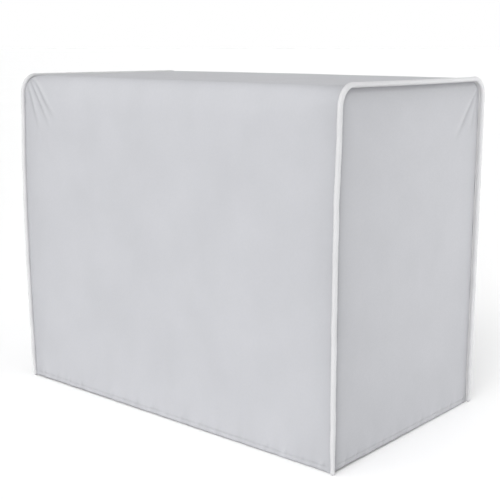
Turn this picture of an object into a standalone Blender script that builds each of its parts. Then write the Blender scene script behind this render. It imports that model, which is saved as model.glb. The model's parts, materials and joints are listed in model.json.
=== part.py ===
"""Printer enclosure tent: a piped fabric cover that slips over a knock-down tube frame.

Frame: +X along the long front, +Y from front to back, +Z up. The origin is the centre of the footprint,
on the surface that the four feet stand on. The model is in metres.

The cover is one wrap panel (front, top and back), two end panels, a piping round each end and a tape over
each seam inside. The frame is a base ring with four posts, and a top ring that pushes down onto the posts.
"""

import math

import bmesh
import bpy
from mathutils import Matrix, Vector

GAP = 0.0003  # between pieces that touch

# Cover
COVER_WIDTH = 0.620  # over the two end panels
COVER_DEPTH = 0.360  # over the front and the back
COVER_TOP = 0.499  # outer face of the top, above the floor
COVER_BOTTOM = 0.0042  # folded edge of the hem, above the floor
EDGE_RADIUS = 0.025  # front to top and top to back, on the outer face
ARC_STEPS = 8
CLOTH = 0.0015
SEAM_SETBACK = 0.0025  # how far a panel stops short of the corner that the piping fills
HEM_TALL = 0.015
HEM_DEEP = 2 * CLOTH + GAP  # from the cover's face to the inner face of the turned-in cloth
HEM_CLEAR = 0.0007  # between the hems of two panels that meet at a corner

# Piping: a round cord in a fabric casing, standing proud of the corner
PIPING_RADIUS = 0.00355
PIPING_PROUD = 0.0012  # centre of the piping outside both panel faces
PIPING_WALL = 0.0005
PIPING_BOTTOM = 0.0003
PIPING_SIDES = 3  # bevel resolution, which gives 10 sides
CORD_RADIUS = 0.0027
CORD_SIDES = 2  # bevel resolution, which gives 8 sides

# Tape that covers the raw edges of each seam, on the wrap panel's inner face
TAPE_WIDTH = 0.011
TAPE_THICKNESS = 0.0015
TAPE_EDGE = 0.004  # outer edge of the tape in from the end panel's face
TAPE_BOTTOM = COVER_BOTTOM + HEM_TALL + 0.001

# Frame
FRAME_INSET = 0.0037  # outer face of a corner block in from the cover's face
BLOCK = 0.025  # corner block's side
TUBE_RADIUS = 0.0065
TUBE_WALL = 0.001
TUBE_END = 0.0083  # end of a tube from the centre of its corner block
BORE_RADIUS = TUBE_RADIUS + GAP
BORE_END = TUBE_END - GAP
SOCKET_RADIUS = 0.0095
SOCKET_END = 0.0305  # mouth of a socket from the centre of its corner block
COLLAR_RADIUS = 0.0105
COLLAR_LENGTH = 0.003
TOP_ROUND = 0.0213  # outer edges of a top corner block, which follow the cover's own round edge
BASE_ROUND = 0.003
ROUND_STEPS = 5
SIDES = 24  # round a tube, a socket or a foot

# Feet
FOOT_TALL = 0.004
FOOT_RADIUS = 0.008
FOOT_CHAMFER = 0.001
STEM_RADIUS = 0.0035
STEM_LENGTH = 0.008
STEM_HOLE = 0.009

TUBE_INSET = FRAME_INSET + BLOCK / 2  # tube centre lines in from the cover's faces
FRAME_X = COVER_WIDTH / 2 - TUBE_INSET
FRAME_Y = COVER_DEPTH / 2 - TUBE_INSET
TOP_Z = COVER_TOP - TUBE_INSET
BASE_Z = FOOT_TALL + BLOCK / 2

# Turns local X and Y into world Y and Z, and local Z into world X.
FACING_X = (math.radians(90), 0, math.radians(90))
SIDEWAYS = {"left": -1, "right": 1}
LENGTHWAYS = {"front": -1, "back": 1}


def clear_scene():
    for obj in list(bpy.data.objects):
        bpy.data.objects.remove(obj)


def collection(name):
    made = bpy.data.collections.new(name)
    bpy.context.scene.collection.children.link(made)
    return made


def material(name, colour, roughness, metallic=0.0):
    made = bpy.data.materials.new(name)
    made.use_nodes = True
    shader = made.node_tree.nodes["Principled BSDF"]
    shader.inputs["Base Color"].default_value = (*colour, 1)
    shader.inputs["Roughness"].default_value = roughness
    shader.inputs["Metallic"].default_value = metallic
    made.diffuse_color = (*colour, 1)
    return made


def add(name, data, into, finish=None):
    obj = bpy.data.objects.new(name, data)
    into.objects.link(obj)
    if finish:
        data.materials.append(finish)
    return obj


def evaluated_mesh(obj):
    bpy.context.view_layer.update()
    seen = obj.evaluated_get(bpy.context.evaluated_depsgraph_get())
    return bpy.data.meshes.new_from_object(seen)


def combined(name, body, steps):
    """The mesh of a body after its Boolean steps, each a helper and an operation. Removes them all."""
    for helper, operation in steps:
        cut = body.modifiers.new(helper.name, "BOOLEAN")
        cut.operation = operation
        cut.object = helper
    mesh = evaluated_mesh(body)
    mesh.name = name
    mesh.materials.clear()
    for helper, _ in steps:
        bpy.data.objects.remove(helper)
    bpy.data.objects.remove(body)
    return mesh


# Cover


def arch(inset, bottom, setback=0.0):
    """Points (y, z) up the front, over the top and down the back, inset from the cover's outer face."""
    half = COVER_DEPTH / 2 - inset - setback
    top = COVER_TOP - inset - setback
    radius = EDGE_RADIUS - inset - setback
    points = [(-half, bottom)]
    for side in (-1, 1):
        for step in range(ARC_STEPS + 1):
            turn = math.radians(90) * step / ARC_STEPS
            if side > 0:
                turn = math.radians(90) - turn
            y = side * (half - radius + radius * math.cos(turn))
            points.append((y, top - radius + radius * math.sin(turn)))
    points.append((half, bottom))
    return points


def line_curve(name, points, closed=False):
    """A polyline in local X and Y."""
    curve = bpy.data.curves.new(name, "CURVE")
    curve.dimensions = "2D"
    curve.fill_mode = "BOTH" if closed else "NONE"
    line = curve.splines.new("POLY")
    line.points.add(len(points) - 1)
    for point, (x, y) in zip(line.points, points):
        point.co = (x, y, 0, 1)
    line.use_cyclic_u = closed
    return curve


def strip(name, points, x, width, thickness, into, finish):
    """Cloth bent along a line of points, which is its outer face."""
    curve = line_curve(name, points)
    curve.extrude = width / 2
    obj = add(name, curve, into, finish)
    obj.location.x = x
    obj.rotation_euler = FACING_X
    shell = obj.modifiers.new("thickness", "SOLIDIFY")
    shell.thickness = thickness
    shell.offset = -1
    shell.use_even_offset = True
    return obj


def wrap_panel(into, finish):
    """Front, top and back in one piece, with both bottom edges turned in and up as hems."""
    inner = COVER_DEPTH / 2 - HEM_DEEP
    hem_top = COVER_BOTTOM + HEM_TALL
    front_hem = [(-inner, hem_top), (-inner, COVER_BOTTOM)]
    back_hem = [(inner, COVER_BOTTOM), (inner, hem_top)]
    points = front_hem + arch(0, COVER_BOTTOM) + back_hem
    return strip("wrap_panel", points, 0, COVER_WIDTH - 2 * SEAM_SETBACK, CLOTH, into, finish)


def bar(name, centre, size, into):
    mesh = bpy.data.meshes.new(name)
    shape = bmesh.new()
    bmesh.ops.create_cube(shape, size=1, matrix=Matrix.Diagonal((*size, 1)))
    shape.to_mesh(mesh)
    shape.free()
    obj = add(name, mesh, into)
    obj.location = centre
    return obj


def flat_arch(into):
    """The outline of an end panel as a mesh of cloth thickness, lying in local X and Y."""
    curve = line_curve("outline", arch(0, COVER_BOTTOM, SEAM_SETBACK), closed=True)
    curve.extrude = CLOTH / 2
    outline = add("outline", curve, into)
    mesh = evaluated_mesh(outline)
    bpy.data.objects.remove(outline)
    shape = bmesh.new()
    shape.from_mesh(mesh)
    bmesh.ops.remove_doubles(shape, verts=shape.verts, dist=0.00001)
    bmesh.ops.recalc_face_normals(shape, faces=shape.faces)
    shape.to_mesh(mesh)
    shape.free()
    return add("flat_arch", mesh, into)


def end_panel(name, side, into, helpers, finish):
    """A flat arch-shaped panel with its bottom edge turned in and up as a hem."""
    across = COVER_DEPTH - 2 * HEM_DEEP - 2 * HEM_CLEAR
    turned_z = -side * (CLOTH + GAP)
    turned_centre = (0, COVER_BOTTOM + HEM_TALL / 2, turned_z)
    turned_cloth = bar("turned_cloth", turned_centre, (across, HEM_TALL, CLOTH), helpers)
    fold_centre = (0, COVER_BOTTOM + CLOTH / 2, turned_z / 2)
    fold = bar("fold", fold_centre, (across, CLOTH, CLOTH + GAP), helpers)
    mesh = combined(name, flat_arch(helpers), ((fold, "UNION"), (turned_cloth, "UNION")))
    obj = add(name, mesh, into, finish)
    obj.location.x = side * (COVER_WIDTH - CLOTH) / 2
    obj.rotation_euler = FACING_X
    return obj


def round_edge(name, side, radius, sides, bottom, into, finish):
    """A round length that follows the edge of an end panel."""
    curve = line_curve(name, arch(-PIPING_PROUD, bottom))
    curve.bevel_depth = radius
    curve.bevel_resolution = sides
    obj = add(name, curve, into, finish)
    obj.location.x = side * (COVER_WIDTH / 2 + PIPING_PROUD)
    obj.rotation_euler = FACING_X
    return obj


def piping(name, side, into, finish):
    """The casing: an open-ended fabric tube."""
    obj = round_edge(name, side, PIPING_RADIUS, PIPING_SIDES, PIPING_BOTTOM, into, finish)
    shell = obj.modifiers.new("wall", "SOLIDIFY")
    shell.thickness = PIPING_WALL
    shell.offset = -1
    return obj


def piping_cord(name, side, into, finish):
    """The solid cord inside the casing."""
    obj = round_edge(name, side, CORD_RADIUS, CORD_SIDES, PIPING_BOTTOM + GAP, into, finish)
    obj.data.use_fill_caps = True
    return obj


def make_cover(into, helpers):
    cloth = material("cover_cloth", (0.62, 0.63, 0.66), 0.55)
    white = material("piping_white", (0.85, 0.85, 0.86), 0.6)
    cotton = material("piping_cord", (0.8, 0.79, 0.75), 0.8)
    ribbon = material("seam_tape", (0.5, 0.5, 0.52), 0.75)
    wrap_panel(into, cloth)
    tape_x = COVER_WIDTH / 2 - TAPE_EDGE - TAPE_WIDTH / 2
    tape_line = arch(CLOTH + GAP, TAPE_BOTTOM)
    for end, side in SIDEWAYS.items():
        end_panel(f"{end}_end_panel", side, into, helpers, cloth)
        piping(f"{end}_piping", side, into, white)
        piping_cord(f"{end}_piping_cord", side, into, cotton)
        strip(f"{end}_seam_tape", tape_line, side * tape_x, TAPE_WIDTH, TAPE_THICKNESS, into, ribbon)


# Frame


def turned(name, profile, closed, into, finish):
    """A profile of (radius, z) points turned about Z, its outer side going down."""
    mesh = bpy.data.meshes.new(name)
    edges = [(i, i + 1) for i in range(len(profile) - 1)]
    if closed:
        edges.append((len(profile) - 1, 0))
    mesh.from_pydata([(radius, 0, z) for radius, z in profile], edges, [])
    obj = add(name, mesh, into, finish)
    screw = obj.modifiers.new("turn", "SCREW")
    screw.steps = SIDES
    screw.render_steps = SIDES
    screw.use_smooth_shade = False
    screw.use_merge_vertices = True
    screw.merge_threshold = 0.00001
    return obj


def tube(name, start, end, into, finish):
    """A hollow tube between the centres of two corner blocks, stopping short of each centre."""
    start, end = Vector(start), Vector(end)
    along = (end - start).normalized()
    length = (end - start).length - 2 * TUBE_END
    inner = TUBE_RADIUS - TUBE_WALL
    profile = [(TUBE_RADIUS, length), (TUBE_RADIUS, 0), (inner, 0), (inner, length)]
    obj = turned(name, profile, True, into, finish)
    obj.location = start + along * TUBE_END
    obj.rotation_euler = along.to_track_quat("Z", "Y").to_euler()
    return obj


def cylinder(name, radius, start, length, direction, into):
    """A helper cylinder along a direction from the origin, starting some way out."""
    mesh = bpy.data.meshes.new(name)
    shape = bmesh.new()
    bmesh.ops.create_cone(shape, cap_ends=True, segments=SIDES, radius1=radius, radius2=radius, depth=length)
    shape.to_mesh(mesh)
    shape.free()
    obj = add(name, mesh, into)
    obj.location = Vector(direction) * (start + length / 2)
    obj.rotation_euler = Vector(direction).to_track_quat("Z", "Y").to_euler()
    return obj


def block(rounding, into):
    """A cube about the origin with its three outer edges, at the -X -Y -Z corner, rounded."""
    mesh = bpy.data.meshes.new("block")
    shape = bmesh.new()
    bmesh.ops.create_cube(shape, size=BLOCK)
    outer = min(shape.verts, key=lambda vert: sum(vert.co))
    edges = list(outer.link_edges)
    bmesh.ops.bevel(shape, geom=edges, offset=rounding, segments=ROUND_STEPS, profile=0.5, affect="EDGES")
    shape.to_mesh(mesh)
    shape.free()
    return add("block", mesh, into)


def corner_mesh(name, rounding, has_foot, helpers):
    """A three-way moulding: a block with sockets along +X, +Y and +Z, and a hole below for a foot's stem."""
    joins = []
    cuts = []
    for direction in ((1, 0, 0), (0, 1, 0), (0, 0, 1)):
        collar_start = SOCKET_END - COLLAR_LENGTH
        joins.append(cylinder("socket", SOCKET_RADIUS, 0, SOCKET_END, direction, helpers))
        joins.append(cylinder("collar", COLLAR_RADIUS, collar_start, COLLAR_LENGTH, direction, helpers))
        cuts.append(cylinder("bore", BORE_RADIUS, BORE_END, SOCKET_END, direction, helpers))
    if has_foot:
        hole_start = BLOCK / 2 - STEM_HOLE
        cuts.append(cylinder("stem_hole", STEM_RADIUS + GAP, hole_start, BLOCK, (0, 0, -1), helpers))
    steps = [(helper, "UNION") for helper in joins] + [(helper, "DIFFERENCE") for helper in cuts]
    mesh = combined(name, block(rounding, helpers), steps)
    mesh.shade_smooth()
    mesh.set_sharp_from_angle(angle=math.radians(35))
    return mesh


def place_corner(name, mesh, centre, into):
    """Turns a corner moulding so that its sockets point in from this corner of the frame."""
    inward = (
        -math.copysign(1, centre[0]),
        -math.copysign(1, centre[1]),
        -1 if centre[2] > BASE_Z else 1,
    )
    along_x = Vector((inward[0], 0, 0))
    along_y = Vector((0, inward[1], 0))
    along_z = Vector((0, 0, inward[2]))
    if inward[0] * inward[1] * inward[2] < 0:
        along_x, along_y = along_y, along_x
    turn = Matrix((along_x, along_y, along_z)).transposed()
    obj = add(name, mesh, into)
    obj.location = centre
    obj.rotation_euler = turn.to_euler()
    return obj


def foot(name, x, y, into, finish):
    """A rubber pad with a stem that plugs into the block above it."""
    seat = FOOT_TALL - GAP
    profile = [
        (0, seat + STEM_LENGTH),
        (STEM_RADIUS, seat + STEM_LENGTH),
        (STEM_RADIUS, seat),
        (FOOT_RADIUS, seat),
        (FOOT_RADIUS, FOOT_CHAMFER),
        (FOOT_RADIUS - FOOT_CHAMFER, 0),
        (0, 0),
    ]
    obj = turned(name, profile, False, into, finish)
    obj.location = (x, y, 0)
    return obj


def ring(prefix, z, into, finish):
    """Four rails at one height."""
    for face, side in LENGTHWAYS.items():
        y = side * FRAME_Y
        tube(f"{prefix}_rail_{face}", (-FRAME_X, y, z), (FRAME_X, y, z), into, finish)
    for face, side in SIDEWAYS.items():
        x = side * FRAME_X
        tube(f"{prefix}_rail_{face}", (x, -FRAME_Y, z), (x, FRAME_Y, z), into, finish)


def make_frame(into, helpers):
    steel = material("tube_coating", (0.78, 0.78, 0.79), 0.35)
    plastic = material("corner_plastic", (0.7, 0.7, 0.71), 0.5)
    rubber = material("foot_rubber", (0.45, 0.45, 0.46), 0.85)
    ring("top", TOP_Z, into, steel)
    ring("base", BASE_Z, into, steel)
    top_mesh = corner_mesh("top_corner", TOP_ROUND, False, helpers)
    base_mesh = corner_mesh("base_corner", BASE_ROUND, True, helpers)
    for mesh in (top_mesh, base_mesh):
        mesh.materials.append(plastic)
    for length_name, length_side in LENGTHWAYS.items():
        for side_name, side in SIDEWAYS.items():
            where = f"{length_name}_{side_name}"
            x, y = side * FRAME_X, length_side * FRAME_Y
            tube(f"post_{where}", (x, y, BASE_Z), (x, y, TOP_Z), into, steel)
            place_corner(f"top_corner_{where}", top_mesh, (x, y, TOP_Z), into)
            place_corner(f"base_corner_{where}", base_mesh, (x, y, BASE_Z), into)
            foot(f"foot_{where}", x, y, into, rubber)


def main():
    clear_scene()
    tent = collection("printer_enclosure_tent")
    helpers = collection("helpers")
    make_cover(tent, helpers)
    make_frame(tent, helpers)


main()
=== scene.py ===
"""Looks of a printer enclosure tent: a grey cloth cover with white piped seams, over a frame of tubes.

Every length is in metres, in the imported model's own frame: +X along the width, -Y to the front, +Z up.
Each cover panel is drawn as flat cloth, refined where it folds, and then mapped onto its hung shape.
"""

import math

import bmesh
import bpy
import numpy as np
from mathutils import Matrix, Vector
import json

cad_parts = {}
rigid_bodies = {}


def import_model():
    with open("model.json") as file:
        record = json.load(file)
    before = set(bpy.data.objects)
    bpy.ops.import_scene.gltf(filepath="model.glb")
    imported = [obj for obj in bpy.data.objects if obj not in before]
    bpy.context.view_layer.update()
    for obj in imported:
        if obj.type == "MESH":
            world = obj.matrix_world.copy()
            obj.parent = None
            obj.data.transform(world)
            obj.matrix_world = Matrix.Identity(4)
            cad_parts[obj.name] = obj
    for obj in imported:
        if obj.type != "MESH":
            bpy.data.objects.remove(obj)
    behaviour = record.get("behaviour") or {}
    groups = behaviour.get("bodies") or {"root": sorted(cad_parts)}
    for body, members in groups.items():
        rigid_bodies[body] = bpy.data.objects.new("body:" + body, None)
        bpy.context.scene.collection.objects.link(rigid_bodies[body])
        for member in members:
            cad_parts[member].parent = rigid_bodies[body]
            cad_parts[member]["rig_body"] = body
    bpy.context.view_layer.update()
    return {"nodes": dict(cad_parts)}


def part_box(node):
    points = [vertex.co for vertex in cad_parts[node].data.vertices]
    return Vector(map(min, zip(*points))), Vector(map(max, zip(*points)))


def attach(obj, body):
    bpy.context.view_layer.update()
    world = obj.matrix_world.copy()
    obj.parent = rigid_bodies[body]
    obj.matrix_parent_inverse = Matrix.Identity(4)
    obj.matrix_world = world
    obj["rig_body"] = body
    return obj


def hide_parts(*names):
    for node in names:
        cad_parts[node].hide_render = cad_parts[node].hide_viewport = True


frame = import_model()

# Faces of the cover and the piping, read from the frame
FACE_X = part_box("right_end_panel")[1].x  # outer face of an end panel
FACE_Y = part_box("wrap_panel")[1].y  # outer face of the back
TOP_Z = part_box("wrap_panel")[1].z
HEM_HANG = 0.0036  # the hem's folded edge hangs this far below the CAD one
HEM_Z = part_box("wrap_panel")[0].z - HEM_HANG
PIPING_LOW, PIPING_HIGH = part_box("right_piping")
PIPING_X = (PIPING_LOW.x + PIPING_HIGH.x) / 2
PIPING_Y = FACE_Y + PIPING_X - FACE_X
PIPING_RADIUS = PIPING_HIGH.y - PIPING_Y
PIPING_Z = PIPING_HIGH.z - PIPING_RADIUS
CORD_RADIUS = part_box("right_piping_cord")[1].y - PIPING_Y
TAPE_LOW, TAPE_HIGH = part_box("right_seam_tape")

# Cloth
EDGE_RADIUS = 0.025  # front to top and top to back, at the seams
ROLL_BACK, ROLL_DROP = 0.022, 0.047  # the front's roll away from the seams: back on the top, down the face
BACK_ROLL = 0.030  # the round roll at the back
ROLL_START, ROLL_SPAN = 0.016, 0.060  # where the rolls begin in from a seam, and over what length they grow
FLAT_RADIUS = 0.03  # the radius that the flat pattern allows for
CLOTH = 0.0004
FOLD = 0.00075  # radius of the hem's fold
HEM_INNER = 0.0125  # height of the turned-in layer
WRAP_DROP, END_DROP = 0.0006, 0.0030  # how far the seam lies behind the wrap's faces and an end's face
SEAM_GAP = 0.0015  # from an end panel's face in to the wrap's edge, tight against the piping
SEAM_X = FACE_X - SEAM_GAP
SEAM_Y = FACE_Y - WRAP_DROP
SEAM_Z = TOP_Z - WRAP_DROP
ALLOWANCE = 0.0026  # cloth turned in past the seam line
STITCH_RISE = 0.0068  # hem stitches above the fold
STITCH_PITCH, STITCH_LENGTH, THREAD_RADIUS = 0.0032, 0.0024, 0.00017
HEM_STITCH_LIFT = 0.00006


def smooth(t):
    """0 below 0, 1 above 1, and a smooth step between."""
    t = np.clip(t, 0, 1)
    return t * t * (3 - 2 * t)


def ripple(t, lengths, seed):
    """A sum of sine waves of these wavelengths, between about -1 and 1."""
    phases = np.random.default_rng(seed).uniform(0, 2 * np.pi, len(lengths))
    waves = [np.sin(2 * np.pi * t / length + phase) for length, phase in zip(lengths, phases)]
    return sum(waves) / len(waves)


# ---------------- materials


class Look:
    """A Principled material, with short calls for the nodes that feed it."""

    def __init__(self, name, roughness=0.6, specular=0.4, sheen=0.0, sheen_roughness=0.5, coat=0.0):
        self.material = bpy.data.materials.new(name)
        self.material.use_nodes = True
        self.tree = self.material.node_tree
        self.shader = self.tree.nodes["Principled BSDF"]
        self.shader.inputs["Roughness"].default_value = roughness
        self.shader.inputs["Specular IOR Level"].default_value = specular
        self.shader.inputs["Sheen Weight"].default_value = sheen
        self.shader.inputs["Sheen Roughness"].default_value = sheen_roughness
        self.shader.inputs["Coat Weight"].default_value = coat

    def node(self, kind, inputs, output=0, **settings):
        """Adds a node, gives its inputs a value or a link, and returns one of its outputs."""
        node = self.tree.nodes.new("ShaderNode" + kind)
        for key, value in settings.items():
            setattr(node, key, value)
        for key, value in inputs.items():
            if isinstance(value, bpy.types.NodeSocket):
                self.tree.links.new(value, node.inputs[key])
            else:
                node.inputs[key].default_value = value
        return node.outputs[output]

    def math(self, operation, first, second=0.0):
        return self.node("Math", {0: first, 1: second}, operation=operation)

    def cloth(self):
        """The place on the flat cloth, in metres."""
        return self.node("Attribute", {}, "Vector", attribute_name="cloth")

    def place(self):
        """The place on the object, in metres."""
        return self.node("TexCoord", {}, "Object")

    def noise(self, vector, size, detail=3.0, roughness=0.5):
        """Noise between 0 and 1 with features of this size in metres."""
        inputs = {"Vector": vector, "Scale": 1 / size, "Detail": detail, "Roughness": roughness}
        return self.node("TexNoise", inputs, "Fac")

    def spread(self, value, low, high, start=0.0, end=1.0):
        """value, going from start to end, as a number going from low to high."""
        inputs = {"Value": value, "From Min": start, "From Max": end, "To Min": low, "To Max": high}
        return self.node("MapRange", inputs)

    def mix(self, factor, first, second):
        return self.node("Mix", {0: factor, 6: first, 7: second}, 2, data_type="RGBA")

    def bump(self, height, distance, strength=1.0, under=None):
        inputs = {"Height": height, "Distance": distance, "Strength": strength}
        if under is not None:
            inputs["Normal"] = under
        return self.node("Bump", inputs, "Normal")

    def join(self, **sockets):
        for key, value in sockets.items():
            self.tree.links.new(value, self.shader.inputs[key.replace("_", " ")])
        return self.material


def shade(colour, factor):
    return tuple(c * factor for c in colour) + (1,)


def weave(look, pitch, bias=False):
    """Height of a plain weave, over and under, with its threads pitch apart."""
    parts = look.node("SeparateXYZ", {"Vector": look.cloth()}, 0).node
    along, across = parts.outputs["X"], parts.outputs["Y"]
    if bias:
        along, across = look.math("ADD", along, across), look.math("SUBTRACT", along, across)
    turns = 2 * math.pi / pitch
    warp = look.math("SINE", look.math("MULTIPLY", along, turns))
    weft = look.math("SINE", look.math("MULTIPLY", across, turns))
    return look.math("MULTIPLY", warp, weft)


SEAM_SHADE_REACH, CREVICE_SHADE_REACH = 0.026, 0.0065  # how far in from a seam its two bands of painted shade reach
FOLD_SHADE, FOLD_SHINE = 0.16, 0.075  # painted shade in a valley and painted highlight on a ridge of 1 mm


def make_cloth(
    name, colour, pitch, roughness, sheen, specular=0.35, bias=False, crinkle=0.00003, edge=0.0, crevice_shade=0.0
):
    """Woven cloth with a thin coat: threads, a fine crinkle, and tone that drifts a little over the cloth.

    The edge and crevice amounts are painted shade: how much darker it is along its seams, in a wide band and
    in a narrow one beside the piping. Cloth with an edge also shows its folds, with painted shade in the
    valleys and a painted highlight on the ridges.
    """
    look = Look(name, roughness, specular, sheen)
    threads = weave(look, pitch, bias)
    drift = look.noise(look.cloth(), 0.09, 2)
    grain = look.noise(look.cloth(), 0.004, 4, 0.6)
    drawn_out = look.node("VectorMath", {0: look.cloth(), 1: (30, 1, 1)}, operation="MULTIPLY")
    slub = look.noise(drawn_out, 0.02, 3)
    base = look.mix(look.spread(drift, 0, 1, 0.3, 0.7), shade(colour, 0.975), shade(colour, 1.025))
    base = look.mix(look.spread(grain, 0, 0.16, 0.35, 0.75), base, shade(colour, 0.86))
    base = look.mix(look.spread(threads, 0, 0.10, -1, 1), base, shade(colour, 1.12))
    if edge:
        inset = look.node("SeparateXYZ", {"Vector": look.cloth()}, "Z")
        # Painted shade along the seams: a wide band, and a narrow one in the crevice beside the piping.
        for amount, reach in ((edge, SEAM_SHADE_REACH), (crevice_shade, CREVICE_SHADE_REACH)):
            fade = look.math("EXPONENT", look.math("MULTIPLY", inset, -1 / reach))
            base = look.mix(look.math("MULTIPLY", fade, amount), base, shade(colour, 0))
        # Painted shade in the folds' valleys and a painted highlight on their ridges.
        fold = look.node("Attribute", {}, "Fac", attribute_name="fold")
        base = look.mix(look.spread(fold, FOLD_SHADE, 0, -0.001, 0), base, shade(colour, 0))
        base = look.mix(look.spread(fold, 0, FOLD_SHINE, 0, 0.001), base, (1, 1, 1, 1))
    height = look.bump(threads, 0.00004, 0.6)
    height = look.bump(slub, 0.00002, 0.5, height)
    height = look.bump(look.noise(look.cloth(), 0.0035, 4, 0.55), crinkle, 1.0, height)
    rough = look.spread(grain, roughness - 0.06, roughness + 0.07, 0.3, 0.7)
    return look.join(Base_Color=base, Roughness=rough, Normal=height)


def make_thread(name, colour):
    look = Look(name, 0.5, 0.4, 0.2)
    fibres = look.noise(look.place(), 0.0006, 3)
    base = look.mix(fibres, shade(colour, 0.85), shade(colour, 1.1))
    return look.join(Base_Color=base, Normal=look.bump(fibres, 0.00008))


def make_powder_coat(name, colour):
    """Powder-coated steel: fine orange peel, with faint scuffs."""
    look = Look(name, 0.42, 0.5, coat=0.15)
    peel = look.noise(look.place(), 0.0011, 2)
    scuff = look.noise(look.place(), 0.012, 6, 0.7)
    worn = look.spread(scuff, 0, 0.35, 0.58, 0.72)
    base = look.mix(worn, shade(colour, 1.0), shade(colour, 0.84))
    rough = look.spread(scuff, 0.36, 0.56, 0.35, 0.7)
    return look.join(Base_Color=base, Roughness=rough, Normal=look.bump(peel, 0.00005))


def make_plastic(name, colour):
    """Moulded plastic with a fine spark-eroded grain."""
    look = Look(name, 0.55, 0.45)
    grain = look.noise(look.place(), 0.0005, 3, 0.6)
    flow = look.noise(look.place(), 0.018, 2)
    base = look.mix(look.spread(flow, 0, 1, 0.35, 0.65), shade(colour, 0.97), shade(colour, 1.03))
    rough = look.spread(grain, 0.48, 0.64)
    return look.join(Base_Color=base, Roughness=rough, Normal=look.bump(grain, 0.00004))


def make_rubber(name, colour):
    look = Look(name, 0.8, 0.3, 0.1)
    grain = look.noise(look.place(), 0.0007, 4, 0.65)
    dust = look.noise(look.place(), 0.006, 3)
    base = look.mix(look.spread(dust, 0, 0.4, 0.45, 0.75), shade(colour, 1), shade(colour, 1.3))
    return look.join(Base_Color=base, Normal=look.bump(grain, 0.00006))


COVER_GREY = (0.415, 0.419, 0.440)
# The edge and crevice amounts paint shade along the seams. The end panels get more of it beside the piping.
COVER_CLOTH = make_cloth("cover_cloth", COVER_GREY, 0.0005, 0.62, 0.04, specular=0.22, edge=0.11)
END_CLOTH = make_cloth("end_cloth", COVER_GREY, 0.0005, 0.62, 0.04, specular=0.22, edge=0.10, crevice_shade=0.42)
COVER_INSIDE = make_cloth("cover_inside", (0.36, 0.365, 0.375), 0.0005, 0.72, 0.05, specular=0.25)
PIPING_CLOTH = make_cloth(
    "piping_cloth", (0.545, 0.545, 0.555), 0.00035, 0.55, 0.1, bias=True, crinkle=0.00006
)
PIPING_CORE = make_cloth("piping_core", (0.62, 0.60, 0.56), 0.0006, 0.85, 0.1)
TAPE_CLOTH = make_cloth("tape_cloth", (0.30, 0.30, 0.315), 0.0007, 0.7, 0.15)
COVER_THREAD = make_thread("cover_thread", (0.42, 0.425, 0.44))
TAPE_THREAD = make_thread("tape_thread", (0.38, 0.38, 0.40))
TUBE_COAT = make_powder_coat("tube_coating", (0.55, 0.55, 0.56))
CORNER_PLASTIC = make_plastic("corner_plastic", (0.42, 0.42, 0.43))
FOOT_RUBBER = make_rubber("foot_rubber", (0.16, 0.16, 0.165))


# ---------------- flat cloth


def runs(*stops):
    """Numbers from the first stop to the last. Each later stop is (end, step)."""
    values = [np.array([stops[0]])]
    for (end, step), start in zip(stops[1:], [stops[0]] + [s[0] for s in stops[1:-1]]):
        count = max(1, round(abs(end - start) / step))
        values.append(np.linspace(start, end, count + 1)[1:])
    return np.concatenate(values)


def mirrored(values):
    """The same numbers and their negatives, where values start at 0."""
    return np.concatenate([-values[:0:-1], values])


def flat_sheet(columns, rows, zones, cut_away=None):
    """A flat grid of cloth. Each zone is a test of (u, v), and halves the squares inside it once."""
    bm = bmesh.new()
    grid = [[bm.verts.new((u, v, 0)) for u in columns] for v in rows]
    for low, high in zip(grid, grid[1:]):
        for a, b, c, d in zip(low, low[1:], high[1:], high):
            bm.faces.new((a, b, c, d))
    if cut_away:
        waste = [f for f in bm.faces if cut_away(*f.calc_center_median().xy)]
        bmesh.ops.delete(bm, geom=waste, context="FACES")
    for zone in zones:
        inside = [f for f in bm.faces if zone(*f.calc_center_median().xy)]
        edges = list({e for f in inside for e in f.edges})
        bmesh.ops.subdivide_edges(bm, edges=edges, cuts=1, use_grid_fill=True)
    return bm


def new_object(name, mesh, *materials):
    thing = bpy.data.objects.new(name, mesh)
    bpy.context.scene.collection.objects.link(thing)
    for material in materials:
        mesh.materials.append(material)
    mesh.shade_smooth()
    return thing


def name_cloth(mesh, places):
    """Keeps each vertex's place on the flat cloth and its distance in from a seam, for the materials."""
    attribute = mesh.attributes.new("cloth", "FLOAT_VECTOR", "POINT")
    attribute.data.foreach_set("vector", np.asarray(places, np.float32).ravel())


def hung_sheet(name, bm, shape, cloth):
    """Maps flat cloth to its hung shape, and gives it a thickness and another material on its inner face."""
    mesh = bpy.data.meshes.new(name)
    bm.to_mesh(mesh)
    bm.free()
    flat = np.zeros(len(mesh.vertices) * 3, np.float32)
    mesh.vertices.foreach_get("co", flat)
    flat = flat.reshape(-1, 3).astype(float)
    points, normals, inset, folds = shape(flat[:, 0], flat[:, 1])
    mesh.vertices.foreach_set("co", points.astype(np.float32).ravel())
    name_cloth(mesh, np.stack([flat[:, 0], flat[:, 1], inset], axis=1))
    mesh.attributes.new("fold", "FLOAT", "POINT").data.foreach_set("value", folds.astype(np.float32))
    sheet = new_object(name, mesh, cloth, COVER_INSIDE)
    mesh.update()
    # The flat grid's faces look along +Z. They are turned over where the mapping leaves them facing inwards.
    middle = mesh.polygons[len(mesh.polygons) // 2]
    if middle.normal.dot(Vector(normals[middle.vertices[0]])) < 0:
        mesh.flip_normals()
    shell = sheet.modifiers.new("thickness", "SOLIDIFY")
    shell.thickness = CLOTH
    shell.offset = -1
    shell.material_offset = 1
    return sheet


# ---------------- how the cloth lies

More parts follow.
